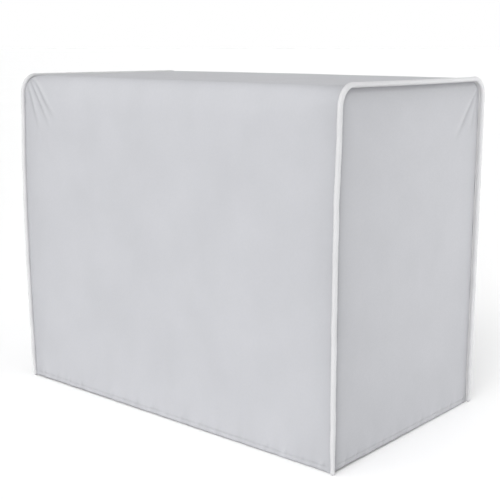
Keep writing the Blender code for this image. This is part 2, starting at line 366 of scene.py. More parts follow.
# Strain folds fan out from the top corners: each is (degrees from straight down, length, height)
FRONT_LEFT_FOLDS = ((8, 0.066, 0.0005), (22, 0.102, 0.0009), (39, 0.106, 0.0010), (55, 0.102, 0.0010))
BACK_RIGHT_FOLDS = ((4, 0.066, 0.0005), (16, 0.078, 0.0006), (35, 0.104, 0.0010))
MINOR_FOLDS = ((10, 0.055, 0.0005), (27, 0.068, 0.0006), (44, 0.050, 0.0005))
FOLD_WIDTH = 0.0043
FOLD_START = 0.010  # a fold rises over this length, out from its corner
FOLD_FADE = 0.45  # the share of its length over which it dies away
FOLD_NARROW, FOLD_SPREAD = 0.5, 0.65  # its width at its start and what it gains, as shares of FOLD_WIDTH
FOLD_BEND = 0.004  # its far end bends aside by up to this
RIDGE_ASIDE, RIDGE_WIDTH, RIDGE_HEIGHT = 1.7, 1.1, 0.75  # the ridge beside it, as shares of its valley

# Seams
SEAM_PLUNGE = 0.95  # how steeply the cloth turns in past the seam line
GATHER, GATHER_REACH, GATHER_WAVES = 0.00028, 0.014, (0.0171, 0.0233, 0.0296)
WANDER, WANDER_REACH, WANDER_WAVES = 0.00018, 0.05, (0.043, 0.071)

# Hems
HEM_GROOVE, HEM_GROOVE_WIDTH = 0.00055, 0.0016  # the groove that the stitches pull
HEM_PRESS, HEM_PRESS_WIDTH = 0.0009, 0.0014  # the pressed edge
PUCKER, PUCKER_PITCH, PUCKER_SHIFT, PUCKER_SLANT = 0.0008, 0.032, 0.006, 0.35
PUCKER_RIDGE, PUCKER_VALLEY, VALLEY_ASIDE, VALLEY_SHARE = 0.0024, 0.0026, 0.0052, 0.8
PUCKER_RISE, PUCKER_REACH = 0.001, 0.0065  # the puckers' middle, above the stitches, and how far they reach
HEM_WAVE, HEM_WAVE_REACH = 0.0005, 0.016

# Panels
SLACK, FINE_SLACK = 0.0005, 0.00012
OPEN_FROM, OPEN_SPAN = 0.004, 0.07  # above the hem: where a panel begins to be free of it
SIDE_WAVE, SIDE_REACH, SIDE_WAVELENGTH = 0.0003, 0.045, 0.0155  # upright waves beside the front's seams

PANEL_SINK = 0.0020  # the middle of a panel lies this far behind its seams
WRAP_SINK_SPAN, END_SINK_SPAN = 0.065, 0.100
WRAP_DROP_SPAN, END_DROP_SPAN = 0.006, 0.009  # the cloth turns down to the seam over these lengths
BOW_LEFT, BOW_RIGHT, BOW_SIDE = 0.0032, 0.0022, 0.0015
PULL_X, PULL_Y = 0.0042, 0.0036  # the ends and the faces pull in by these shares
PULL_UP = 0.00225  # the top stands up by this
LEAN_BACK, LEAN_SIDE = 0.0012, 0.0010  # the top of the front leans back, and its right end sideways
LEAN_FROM, LEAN_SPAN = 0.35, 0.10  # the height from which it leans
DIP_FRONT, DIP_BACK = 0.0006, 0.0018  # the top hangs lower towards the left, mostly at the back
DIP_FROM, DIP_SPAN = 0.38, 0.11  # the height from which it does
SEAM_DIP_FRONT, SEAM_DIP_BACK = 0.0024, 0.0036  # and its left seam lower still, over the last SEAM_DIP_SPAN
SEAM_DIP_RIGHT = 0.0022  # the right seam's dip at the back
SEAM_DIP_SPAN = 0.022
HEM_LIFT_LEFT, HEM_LIFT_NEAR = 0.0014, 0.0022  # the climb of the wrap's hems to -X and of the ends' to -Y


def strain(across, down, folds):
    """Height of folds that fan out below a corner at (0, 0), towards positive across."""
    height = np.zeros_like(across)
    for degrees, length, rise in folds:
        angle = math.radians(degrees)
        along = across * math.sin(angle) + down * math.cos(angle)
        aside = across * math.cos(angle) - down * math.sin(angle)
        part = np.clip(along / length, 0, 1)
        aside = aside + FOLD_BEND * part * part * math.sin(7 * angle)
        width = FOLD_WIDTH * (FOLD_NARROW + FOLD_SPREAD * part)
        strength = smooth((along - 0.25 * FOLD_START) / FOLD_START) * smooth((1 - part) / FOLD_FADE)
        valley = np.exp(-((aside / width) ** 2))
        ridge = np.exp(-(((aside - RIDGE_ASIDE * width) / (RIDGE_WIDTH * width)) ** 2))
        height += rise * strength * (RIDGE_HEIGHT * ridge - valley)
    return height


def seam_relief(inset, along, depth, span, seed):
    """The cloth near a seam: it turns down to the seam line, with small uneven gathers along it."""
    drop = -depth * (1 - smooth(inset / span)) - SEAM_PLUNGE * np.clip(-inset, 0, None)
    gather = GATHER * ripple(along, GATHER_WAVES, seed)
    wander = WANDER * ripple(along, WANDER_WAVES, seed + 1)
    reach = np.exp(-np.clip(inset, 0, None) / GATHER_REACH) * smooth((inset + 0.0005) / 0.004)
    return drop + gather * reach + wander * smooth(inset / 0.008) * np.exp(-inset / WANDER_REACH)


def hem_relief(rise, along, seed):
    """The stitched hem: a pressed edge, a shallow groove under the stitches, and pairs of small puckers."""
    above = rise - STITCH_RISE
    groove = -HEM_GROOVE * np.exp(-((above / HEM_GROOVE_WIDTH) ** 2))
    shifted = along + PUCKER_SHIFT * ripple(along, (0.11, 0.19), seed)
    step = shifted / PUCKER_PITCH - np.round(shifted / PUCKER_PITCH)
    lean = step * PUCKER_PITCH - PUCKER_SLANT * above
    ridge = np.exp(-((lean / PUCKER_RIDGE) ** 2))
    valley = np.exp(-(((lean - VALLEY_ASIDE) / PUCKER_VALLEY) ** 2))
    pair = ridge - VALLEY_SHARE * valley
    uneven = 0.65 + 0.35 * ripple(along, (0.083, 0.137), seed + 1)
    near = np.exp(-(((above - PUCKER_RISE) / PUCKER_REACH) ** 2))
    low = np.exp(-np.clip(rise, 0, None) / HEM_WAVE_REACH)
    wave = HEM_WAVE * ripple(along, (0.021, 0.034, 0.057), seed + 2) * low
    edge = -HEM_PRESS * np.exp(-((rise / HEM_PRESS_WIDTH) ** 2))
    return groove + edge + PUCKER * pair * uneven * near + wave


def slack(across, along, seed):
    """The gentle unevenness of cloth that is only hand-tight."""
    broad = ripple(across, (0.19, 0.27), seed) * ripple(along, (0.23, 0.31), seed + 1)
    small = ripple(across + 0.4 * along, (0.061, 0.087), seed + 2) * ripple(along, (0.11, 0.17), seed + 3)
    return SLACK * broad + FINE_SLACK * small


def sink(inset, span):
    """A panel's middle lies a little behind its seams, and flattens out within span of them."""
    return -PANEL_SINK * (1 - (1 - np.clip(inset / span, 0, 1)) ** 2)


def settle(points):
    """Takes points on the plain cover to the used one, which is a little bowed, leaning and pulled in."""
    x, y, z = points.T
    height = np.clip(z / TOP_Z, 0, 1)
    front = np.clip(0.5 - y / (2 * FACE_Y), 0, 1)
    left = np.clip(0.5 - x / (2 * FACE_X), 0, 1)
    swell = np.sin(np.pi * height)
    forward = swell * front**2 * (BOW_RIGHT + (BOW_LEFT - BOW_RIGHT) * left)
    sideways = swell * front * BOW_SIDE * left**4
    lean = smooth((z - LEAN_FROM) / LEAN_SPAN) * front
    at_seam = smooth((SEAM_DIP_SPAN - x - SEAM_X) / SEAM_DIP_SPAN)
    dip = left**3 * (DIP_BACK + (DIP_FRONT - DIP_BACK) * front)
    dip += at_seam * (SEAM_DIP_BACK + (SEAM_DIP_FRONT - SEAM_DIP_BACK) * front)
    dip += smooth((SEAM_DIP_SPAN + x - SEAM_X) / SEAM_DIP_SPAN) * SEAM_DIP_RIGHT * (1 - front**2)
    dip *= smooth((z - DIP_FROM) / DIP_SPAN)
    moved_x = x * (1 - PULL_X) - sideways + LEAN_SIDE * lean * (1 - left) ** 2
    moved_y = y * (1 - PULL_Y) - forward + LEAN_BACK * lean
    return np.stack([moved_x, moved_y, z + PULL_UP * height - dip], axis=1)


# Lengths along the wrap panel's cloth, out from the middle of the top
TOP_RUN = FACE_Y - FLAT_RADIUS
ARC_RUN = FLAT_RADIUS * math.pi / 2
FACE_RUN = TOP_Z - FLAT_RADIUS - HEM_Z - FOLD
FOLD_RUN = FOLD * math.pi
FACE_END = TOP_RUN + ARC_RUN + FACE_RUN
WRAP_END = FACE_END + FOLD_RUN + HEM_INNER


def wrap_relief(inset, u, w, side):
    """How far the wrap stands out from its plain shape at w from the top's middle, and its folds alone."""
    rise = FACE_END - w  # above the hem, on a face
    upright = smooth((w - TOP_RUN) / ARC_RUN)
    seed = 11 if side < 0 else 31
    gathers = [seam_relief(inset, w, WRAP_DROP, WRAP_DROP_SPAN, seed + shift) for shift in (0, 7)]
    relief = np.where(u < 0, gathers[0], gathers[1])
    open_face = smooth((rise - OPEN_FROM) / OPEN_SPAN)
    # The seam's pull on the face stops on a slant below the roll.
    slant = 0.006 + 0.5 * np.clip(inset, 0, 0.045)
    below = smooth((w - TOP_RUN - ARC_RUN - slant) / (0.016 + 0.7 * np.clip(inset, 0, 0.08)))
    relief += sink(inset, WRAP_SINK_SPAN) * below * open_face
    folds = hem_relief(rise, u, seed + 3) * upright * smooth((inset - 0.002) / 0.01)
    relief += slack(u, w, seed + 5) * open_face * smooth(inset / 0.05) * (0.35 + 0.65 * upright)
    down = w - TOP_RUN - 0.012
    corner = smooth(inset / 0.006)
    if side < 0:
        folds += strain(SEAM_X + 0.002 + u, down, FRONT_LEFT_FOLDS) * corner
        side_wave = SIDE_WAVE * np.exp(-inset / SIDE_REACH) * np.sin(2 * np.pi * inset / SIDE_WAVELENGTH)
        fade = smooth((w - TOP_RUN - ARC_RUN) / 0.12) * smooth((rise - 0.02) / 0.08)
        relief += side_wave * (0.6 + 0.4 * ripple(w, (0.11, 0.17), 5)) * fade
    else:
        folds += strain(SEAM_X - 0.003 - u, down, MINOR_FOLDS) * corner
    return relief + folds, folds


def wrap_side(u, w, side):
    """The wrap panel from the middle of the top to one hem."""
    inset = SEAM_X - np.abs(u)
    grown = smooth((inset - ROLL_START) / ROLL_SPAN)
    level = EDGE_RADIUS + ((ROLL_BACK if side < 0 else BACK_ROLL) - EDGE_RADIUS) * grown
    drop = EDGE_RADIUS + ((ROLL_DROP if side < 0 else BACK_ROLL) - EDGE_RADIUS) * grown
    theta = np.clip((w - TOP_RUN) / ARC_RUN, 0, 1) * math.pi / 2
    phi = np.clip((w - FACE_END) / FOLD_RUN, 0, 1) * math.pi
    turned_in = np.clip(w - FACE_END - FOLD_RUN, 0, None)
    y = np.clip(w / TOP_RUN, 0, 1) * (FACE_Y - level) + level * np.sin(theta)
    z = TOP_Z - drop + drop * np.cos(theta)
    z -= np.clip((w - TOP_RUN - ARC_RUN) / FACE_RUN, 0, 1) * (TOP_Z - drop - HEM_Z - FOLD)
    # How far the cloth has turned from level to upright
    tilt = np.arctan2(np.sin(theta) * drop, np.cos(theta) * level)
    y -= FOLD * (1 - np.cos(phi))
    z += turned_in - FOLD * np.sin(phi)
    z += HEM_LIFT_LEFT * (0.5 - u / (2 * SEAM_X)) * (1 - smooth((z - HEM_Z) / 0.06))
    over = np.minimum(w, FACE_END) - turned_in
    relief, folds = wrap_relief(inset, u, over, side)
    y = (y + relief * np.sin(tilt)) * side
    z += relief * np.cos(tilt)
    x = np.sign(u) * (np.minimum(np.abs(u), SEAM_X) - 0.3 * np.clip(-inset, 0, None))
    normals = np.stack([0 * x, np.sin(tilt + phi) * side, np.cos(tilt + phi)], axis=1)
    return np.stack([x, y, z], axis=1), normals, folds


def wrap_shape(u, v):
    """Places, outward normals, distances in from the seam and fold heights for points on the flat wrap."""
    front, back = wrap_side(u, np.abs(v), -1), wrap_side(u, np.abs(v), 1)
    is_front = (v < 0)[:, None]
    points = np.where(is_front, front[0], back[0])
    folds = np.where(v < 0, front[2], back[2])
    return settle(points), np.where(is_front, front[1], back[1]), SEAM_X - np.abs(u), folds


CORNER_Y, CORNER_Z = FACE_Y - EDGE_RADIUS, TOP_Z - EDGE_RADIUS  # centre of each end panel's round corners
CORNER_SIZE = SEAM_Y + ALLOWANCE - CORNER_Y
END_FOLD = HEM_Z + FOLD  # where the hem's fold begins on an end panel
END_BOTTOM = END_FOLD - FOLD_RUN - HEM_INNER


def end_relief(inset, y, z, rise, x_side):
    seed = 51 if x_side > 0 else 71
    along = np.where(np.abs(y) > CORNER_Y, z, y)
    gathers = [seam_relief(inset, along, END_DROP, END_DROP_SPAN, seed + shift) for shift in (0, 7)]
    relief = np.where(y < 0, gathers[0], gathers[1])
    open_face = smooth((rise - OPEN_FROM) / OPEN_SPAN)
    relief += sink(inset, END_SINK_SPAN) * open_face
    puckers = hem_relief(rise, y, seed + 3) * smooth((inset - 0.002) / 0.01)
    relief += slack(y, z, seed + 5) * open_face * smooth(inset / 0.05)
    folds, toward = (BACK_RIGHT_FOLDS, 1) if x_side > 0 else (MINOR_FOLDS, -1)
    fan = strain(SEAM_Y - 0.009 - y * toward, TOP_Z - 0.010 - z, folds) * smooth(inset / 0.006)
    return relief + puckers + fan, puckers + fan


def end_shape_on(x_side):
    """Returns the mapping for the end panel on that side, -1 or 1."""

    def shape(p, q):
        a, b = (np.abs(p) - CORNER_Y) / CORNER_SIZE, (q - CORNER_Z) / CORNER_SIZE
        round_corner = (a > 0) & (b > 0)
        a, b = np.clip(a, 0, 1), np.clip(b, 0, 1)
        y = np.where(round_corner, CORNER_Y + CORNER_SIZE * a * np.sqrt(1 - b * b / 2), np.abs(p))
        z = np.where(round_corner, CORNER_Z + CORNER_SIZE * b * np.sqrt(1 - a * a / 2), q)
        out_y, out_z = np.clip(y - CORNER_Y, 0, None), np.clip(z - CORNER_Z, 0, None)
        reach = np.hypot(out_y, out_z)
        inset = np.where(reach > 0, SEAM_Y - CORNER_Y - reach, np.minimum(SEAM_Y - y, SEAM_Z - z))
        beyond = np.clip(-inset, 0, None) * 1.3 / np.maximum(reach, 1e-9)
        y, z = y - out_y * beyond, z - out_z * beyond
        phi = np.clip((END_FOLD - q) / FOLD_RUN, 0, 1) * math.pi
        turned_in = np.clip(END_FOLD - FOLD_RUN - q, 0, None)
        z = np.where(q < END_FOLD, END_FOLD - FOLD * np.sin(phi) + turned_in, z)
        y = y * np.sign(p)
        z = z + HEM_LIFT_NEAR * (0.5 - y / (2 * SEAM_Y)) * (1 - smooth((z - HEM_Z) / 0.06))
        rise = np.maximum(q - END_FOLD, 0) + turned_in
        relief, folds = end_relief(inset, y, z, rise, x_side)
        x = (FACE_X + relief - FOLD * (1 - np.cos(phi))) * x_side
        normals = np.stack([x_side * np.cos(phi), 0 * y, -np.sin(phi)], axis=1)
        return settle(np.stack([x, y, z], axis=1)), normals, inset, folds

    return shape


def make_wrap_sheet():
    columns = mirrored(runs(0, (0.200, 0.010), (0.270, 0.005), (0.300, 0.003), (SEAM_X + ALLOWANCE, 0.0009)))
    rows = mirrored(
        runs(
            0,
            (TOP_RUN - 0.01, 0.012),
            (TOP_RUN + ARC_RUN + 0.01, 0.003),
            (TOP_RUN + ARC_RUN + 0.110, 0.006),
            (FACE_END - 0.050, 0.011),
            (FACE_END - 0.022, 0.004),
            (FACE_END, 0.0016),
            (FACE_END + FOLD_RUN, FOLD_RUN / 6),
            (WRAP_END, 0.004),
        )
    )

    def strained(u, v):
        down = abs(v) - TOP_RUN
        across = SEAM_X + u if v < 0 else SEAM_X - u
        return 0.005 < down < 0.135 and 0.004 < across < 0.105

    def hem(u, v):
        return FACE_END - 0.026 < abs(v) < FACE_END and abs(u) < SEAM_X - 0.006

    bm = flat_sheet(columns, rows, [strained, hem, strained])
    return hung_sheet("wrap_sheet", bm, wrap_shape, COVER_CLOTH)


def make_end_sheet(name, x_side):
    columns = mirrored(runs(0, (0.120, 0.010), (0.150, 0.006), (0.168, 0.003), (SEAM_Y + ALLOWANCE, 0.0009)))
    rows = runs(
        END_BOTTOM,
        (END_FOLD - FOLD_RUN, 0.004),
        (END_FOLD, FOLD_RUN / 6),
        (END_FOLD + 0.022, 0.0016),
        (END_FOLD + 0.050, 0.004),
        (TOP_Z - 0.110, 0.011),
        (TOP_Z - 0.030, 0.006),
        (TOP_Z - 0.012, 0.003),
        (SEAM_Z + ALLOWANCE, 0.0009),
    )
    toward = 1 if x_side > 0 else -1

    def in_the_corner(p, q):
        return q < END_FOLD - FOLD_RUN and abs(p) > SEAM_Y - 0.0018

    def strained(p, q):
        return 0.005 < TOP_Z - q < 0.120 and 0.006 < SEAM_Y - p * toward < 0.085

    def hem(p, q):
        return END_FOLD < q < END_FOLD + 0.026 and abs(p) < SEAM_Y - 0.006

    bm = flat_sheet(columns, rows, [strained, hem, strained], in_the_corner)
    return hung_sheet(name, bm, end_shape_on(x_side), END_CLOTH)


# ---------------- piping, tape and thread


def arch_path(half_depth, top, radius, bottom, step):
    """Points (y, z), directions and lengths along an upside-down U with round corners, front to back."""
    post = top - radius - bottom
    arc = radius * math.pi / 2
    bar = 2 * (half_depth - radius)
    total = 2 * (post + arc) + bar
    s = np.linspace(0, total, round(total / step) + 1)
    quarters = np.clip((s - post) / arc, 0, 1) + np.clip((s - post - arc - bar) / arc, 0, 1)
    angle = quarters * math.pi / 2  # 0 going up, a quarter turn going back, half a turn going down
    y = np.clip(s - post - arc, 0, bar) - bar / 2 - radius * np.cos(angle)
    z = top - radius + radius * np.sin(angle)
    z = z - np.clip(post - s, 0, None) - np.clip(s - total + post, 0, None)
    directions = np.stack([np.sin(angle), np.cos(angle)], axis=1)
    return np.stack([y, z], axis=1), directions, s


def swept(name, path, x, outline, cloth_across, material, swell=None, tuck=0.0):
    """Sweeps a closed outline of (outward, sideways) points along an arch at x, where sideways is +X.

    swell gives each ring's size by its length along the arch, and tuck rounds off both ends.
    """
    points, directions, s = path
    outward = np.stack([-directions[:, 1], directions[:, 0]], axis=1)
    count = len(outline)
    rings = []
    for (y, z), (out_y, out_z), length in zip(points, outward, s):
        size = 1.0
        if tuck:
            edge = min(length, s[-1] - length)
            size = math.sqrt(max(0.03, 1 - (1 - min(edge / tuck, 1)) ** 2))
        bulge = np.ones(count) if swell is None else swell(length)
        out, aside = outline[:, 0] * bulge * size, outline[:, 1] * bulge * size
        rings.append(np.stack([x + aside, y + out * out_y, z + out * out_z], axis=1))
    co = settle(np.concatenate(rings))
    faces = []
    for ring in range(len(s) - 1):
        for k in range(count):
            a, b = ring * count + k, ring * count + (k + 1) % count
            faces.append((a, b, b + count, a + count))
    faces.append(tuple(range(count - 1, -1, -1)))
    faces.append(tuple(range(len(co) - count, len(co))))
    mesh = bpy.data.meshes.new(name)
    mesh.from_pydata(co.tolist(), [], faces)
    lengths = np.repeat(s, count)
    name_cloth(mesh, np.stack([lengths, np.tile(cloth_across, len(s)), 0 * lengths], axis=1))
    face_out(mesh)
    return new_object(name, mesh, material)


def face_out(mesh):
    bm = bmesh.new()
    bm.from_mesh(mesh)
    bmesh.ops.recalc_face_normals(bm, faces=bm.faces)
    bm.to_mesh(mesh)
    bm.free()


# How much thinner the piping is where the hems hold its ends, and along the right side's top
PIPING_PINCH, PIPING_TOP_PINCH = 0.24, 0.12
PIPING_PINCH_SPAN = 0.045
LEFT_PIPING_SHIFT, LEFT_PIPING_SINK = 0.0006, 0.0010  # the left piping is pulled in, in x and in y
PIPING_WANDER = 0.0004
LIP, LIP_REACH = 0.0005, 0.0032  # half the thickness of the casing's lips, and how far they stand out
PIPING_STEP = 0.0022
FINE_PUCKER, BROAD_PUCKER = 0.022, 0.034  # shares of the piping's radius
CORE_FIT = 0.94  # the core's radius as a share of the CAD cord's
CORE_INSET = 0.0025  # the core's ends lie this far inside the casing's
STRAND_PITCH = 0.019


def make_piping(side_name, x_side):
    """The fabric casing round its cord, with the lips that are sewn into the seam."""
    half_depth = PIPING_Y - (LEFT_PIPING_SINK if x_side < 0 else 0)
    top_pinch = PIPING_TOP_PINCH if x_side > 0 else 0
    radius = EDGE_RADIUS + half_depth - FACE_Y
    path = arch_path(half_depth, PIPING_Z, radius, PIPING_LOW.z, PIPING_STEP)
    path[0][:, 0] += PIPING_WANDER * ripple(path[2], (0.052, 0.083), 101)
    opening = math.asin(LIP / PIPING_RADIUS)
    turns = np.linspace(opening, 2 * math.pi - opening, 19)
    round_part = PIPING_RADIUS * np.stack([np.cos(turns), np.sin(turns)], axis=1)
    reach = PIPING_RADIUS + LIP_REACH
    lips = np.array([(reach * 0.8, -LIP), (reach, -0.6 * LIP), (reach, 0.6 * LIP), (reach * 0.8, LIP)])
    outline = np.concatenate([round_part, lips])
    # The lips point to the inside of the corner, half-way between inwards and sideways.
    lean = math.radians(135)
    turned = outline @ np.array([[math.cos(lean), math.sin(lean)], [-math.sin(lean), math.cos(lean)]])
    turned[:, 1] *= -x_side
    is_round = np.concatenate([np.ones(len(turns)), np.zeros(4)])
    around = np.concatenate([turns, np.full(4, turns[-1])])
    seed = 91 if x_side > 0 else 97
    x = PIPING_X * x_side + (LEFT_PIPING_SHIFT if x_side < 0 else 0)

    def swell(length):
        place = length + 0.0016 * around
        fine = FINE_PUCKER * ripple(place, (0.0067, 0.0093), seed)
        pucker = fine + BROAD_PUCKER * ripple(place * 0.9, (0.021, 0.037), seed + 1)
        end = min(length, path[2][-1] - length)
        pinch = PIPING_PINCH * float((1 - smooth(end / PIPING_PINCH_SPAN)) * smooth((end + 0.002) / 0.010))
        on_top = smooth((end - TOP_Z) / 0.03)
        return (1 + is_round * pucker) * (1 - pinch - top_pinch * on_top)

    across = np.concatenate([turns, np.linspace(6.5, 7.5, 4)]) * PIPING_RADIUS
    name = side_name + "_piping_casing"
    casing = swept(name, path, x, turned, across, PIPING_CLOTH, swell, PIPING_RADIUS * 0.9)
    strand = np.linspace(0, 2 * math.pi, 19)[:-1]
    circle = CORD_RADIUS * CORE_FIT * np.stack([np.cos(strand), np.sin(strand)], axis=1)

    def twist(length):
        return 0.9 + 0.1 * np.abs(np.cos(1.5 * (strand - length * 2 * math.pi / STRAND_PITCH)))

    core_path = arch_path(half_depth, PIPING_Z, radius, PIPING_LOW.z + CORE_INSET, 0.0025)
    name = side_name + "_piping_core"
    core = swept(name, core_path, x, circle, strand * CORD_RADIUS, PIPING_CORE, twist, 0.001)
    return casing, core


TAPE_THICKNESS = 0.0011
TAPE_STITCH_LINE = 0.36  # from the tape's middle, as a share of its width
TAPE_GROOVE, TAPE_GROOVE_WIDTH = 0.0002, 0.05
TAPE_STITCH_LIFT = 0.00038


def make_binding(side_name, x_side):
    """The tape that covers a seam's raw edges, sewn flat inside the wrap panel."""
    face = TAPE_HIGH.y  # the tape's outer face
    thick, wide = TAPE_THICKNESS, TAPE_HIGH.x - TAPE_LOW.x
    radius = EDGE_RADIUS - (FACE_Y - face)
    path = arch_path(face - thick / 2, TAPE_HIGH.z - thick / 2, radius - thick / 2, TAPE_LOW.z, 0.003)
    across = np.linspace(-0.5, 0.5, 9)
    crown = thick / 2 * (1 - 0.75 * np.abs(2 * across) ** 6)
    from_line = np.abs(across) - TAPE_STITCH_LINE
    grooves = TAPE_GROOVE * np.exp(-((from_line / TAPE_GROOVE_WIDTH) ** 2))
    inner = np.stack([-(crown - grooves), across * wide], axis=1)
    outer = np.stack([crown[::-1] * 0.8, across[::-1] * wide], axis=1)
    outline = np.concatenate([inner, outer])
    x = (TAPE_LOW.x + TAPE_HIGH.x) / 2 * x_side
    name = side_name + "_seam_binding"
    tape = swept(name, path, x, outline, outline[:, 1], TAPE_CLOTH)
    points, directions, s = path
    inward = np.stack([directions[:, 1], -directions[:, 0]], axis=1)
    rows = []
    places = np.arange(0.004, s[-1] - 0.004, STITCH_PITCH)
    for offset in (-TAPE_STITCH_LINE * wide, TAPE_STITCH_LINE * wide):
        y, z = np.interp(places, s, points[:, 0]), np.interp(places, s, points[:, 1])
        along = [np.interp(places, s, directions[:, k]) for k in (0, 1)]
        into = [np.interp(places, s, inward[:, k]) for k in (0, 1)]
        centre = np.stack([np.full_like(y, x + offset), y, z], axis=1)
        normals = np.stack([0 * y, *into], axis=1)
        centre = settle(centre + normals * TAPE_STITCH_LIFT)
        rows.append((centre, np.stack([0 * y, *along], axis=1), normals))
    stitches = make_stitches(side_name + "_binding_stitches", rows, TAPE_THREAD)
    return tape, stitches


def make_stitches(name, rows, thread):
    """Lock stitches as short rounded dashes of thread. Each row is (centres, directions, normals)."""
    ring_at = np.array([-1.0, -0.72, 0.0, 0.72, 1.0])
    ring_size = np.array([0.35, 0.95, 1.0, 0.95, 0.35])
    sag = -0.00012 * ring_at**2  # the ends dive into the cloth
    sides = 6
    turn = np.linspace(0, 2 * math.pi, sides + 1)[:-1]
    faces = []
    for r in range(len(ring_at) - 1):
        for k in range(sides):
            a, b = r * sides + k, r * sides + (k + 1) % sides
            faces.append((a, b, b + sides, a + sides))
    faces.append(tuple(range(sides - 1, -1, -1)))
    faces.append(tuple(range((len(ring_at) - 1) * sides, len(ring_at) * sides)))
    per_stitch = len(ring_at) * sides
    co, all_faces = [], []
    for centres, directions, normals in rows:
        asides = np.cross(directions, normals)
        for centre, along, up, aside in zip(centres, directions, normals, asides):
            start = len(co) * per_stitch
            dash = [
                centre
                + along * at * STITCH_LENGTH / 2
                + up * (dip + THREAD_RADIUS * size * math.sin(t))
                + aside * THREAD_RADIUS * size * math.cos(t)
                for at, size, dip in zip(ring_at, ring_size, sag)
                for t in turn
            ]
            co.append(dash)
            all_faces += [tuple(start + k for k in face) for face in faces]
    mesh = bpy.data.meshes.new(name)
    mesh.from_pydata(np.concatenate(co).tolist(), [], all_faces)
    face_out(mesh)
    return new_object(name, mesh, thread)


def stitch_row(shape, across, level):
    """A row of stitch places on mapped cloth at one level along it, with their directions and normals."""
    levels = np.full_like(across, level)
    centre, normals = shape(across, levels)[:2]
    ahead = shape(across + 0.0008, levels)[0]
    behind = shape(across - 0.0008, levels)[0]
    along = ahead - behind
    along /= np.linalg.norm(along, axis=1)[:, None]
    return centre + normals * HEM_STITCH_LIFT, along, normals


def make_hem_stitches():
    """One row of stitches through each hem, which shows on both faces of the cloth. Returns them by side."""
    pieces = {}
    wrap_across = np.arange(-SEAM_X + 0.006, SEAM_X - 0.006, STITCH_PITCH)
    wrap_levels = (FACE_END - STITCH_RISE, FACE_END + FOLD_RUN + STITCH_RISE)
    end_across = np.arange(-SEAM_Y + 0.006, SEAM_Y - 0.006, STITCH_PITCH)
    end_levels = (END_FOLD + STITCH_RISE, END_FOLD - FOLD_RUN - STITCH_RISE)
    for name, side in (("front", -1), ("back", 1)):
        rows = [stitch_row(wrap_shape, wrap_across, side * level) for level in wrap_levels]
        pieces[name] = make_stitches(name + "_hem_stitches", rows, COVER_THREAD)
    for name, side in (("left", -1), ("right", 1)):
        rows = [stitch_row(end_shape_on(side), end_across, level) for level in end_levels]
        pieces[name] = make_stitches(name + "_hem_stitches", rows, COVER_THREAD)
    return pieces


# ---------------- frame


def lathed(name, profile, sides, material):
    """Turns a closed profile of (radius, height) about Z."""
    turn = np.linspace(0, 2 * math.pi, sides + 1)[:-1]
    bm = bmesh.new()
    rings = []
    for radius, height in profile:
        if radius < 1e-7:
            rings.append([bm.verts.new((0, 0, height))] * sides)
        else:
            rings.append([bm.verts.new((radius * math.cos(t), radius * math.sin(t), height)) for t in turn])
    for low, high in zip(rings, rings[1:] + rings[:1]):
        for k in range(sides):
            corners = [low[k], low[(k + 1) % sides], high[(k + 1) % sides], high[k]]
            corners = [c for i, c in enumerate(corners) if c not in corners[:i]]
            if len(corners) > 2:
                bm.faces.new(corners)
    bmesh.ops.recalc_face_normals(bm, faces=bm.faces)
    mesh = bpy.data.meshes.new(name)
    bm.to_mesh(mesh)
    bm.free()
    return new_object(name, mesh, material)


TUBE_WALL, TUBE_DEBURR = 0.001, 0.00025


def make_tube(node):
    """A steel tube with softly deburred ends, in place of the CAD tube."""
    low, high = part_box(node)
    size = high - low
    axis = max(range(3), key=lambda k: size[k])
    outer = min(size) / 2
    inner, length, edge = outer - TUBE_WALL, size[axis], TUBE_DEBURR
    profile = [(outer - edge, 0), (outer - edge * 0.3, edge * 0.3), (outer, edge)]
    profile += [(outer, length - edge), (outer - edge * 0.3, length - edge * 0.3), (outer - edge, length)]
    profile += [(inner + edge, length), (inner, length - edge), (inner, edge), (inner + edge, 0)]
    tube = lathed(node + "_tube", profile, 48, TUBE_COAT)
    along_x, along_y = Matrix.Rotation(math.pi / 2, 4, "Y"), Matrix.Rotation(-math.pi / 2, 4, "X")
    turn = (along_x, along_y, Matrix.Identity(4))[axis]
    start = (low + high) / 2
    start[axis] = low[axis]
    tube.data.transform(Matrix.Translation(start) @ turn)
    tube.data.shade_smooth()
    return tube


HEM_ROOM = 0.0022  # how far the base corners' end faces are set back for the turned-in hem
CORNER_VOXEL = 0.0008


def make_corner(node):
    """A moulded corner with softened edges, in place of the CAD one."""
    mesh = frame["nodes"][node].data.copy()
    bm = bmesh.new()
    bm.from_mesh(mesh)
    bmesh.ops.remove_doubles(bm, verts=bm.verts, dist=0.00001)
    if node.startswith("base"):
        reach = max(abs(vertex.co.x) for vertex in bm.verts) - HEM_ROOM
        for vertex in bm.verts:
            vertex.co.x = min(max(vertex.co.x, -reach), reach)
    bm.to_mesh(mesh)
    bm.free()
    mesh.name = node + "_moulding"
    mesh.materials.clear()
    corner = new_object(node + "_moulding", mesh, CORNER_PLASTIC)
    voxels = corner.modifiers.new("soft_edges", "REMESH")
    voxels.mode = "VOXEL"
    voxels.voxel_size = CORNER_VOXEL
    voxels.use_smooth_shade = True
    ease = corner.modifiers.new("ease", "SMOOTH")
    ease.factor = 0.5
    ease.iterations = 4
    return corner


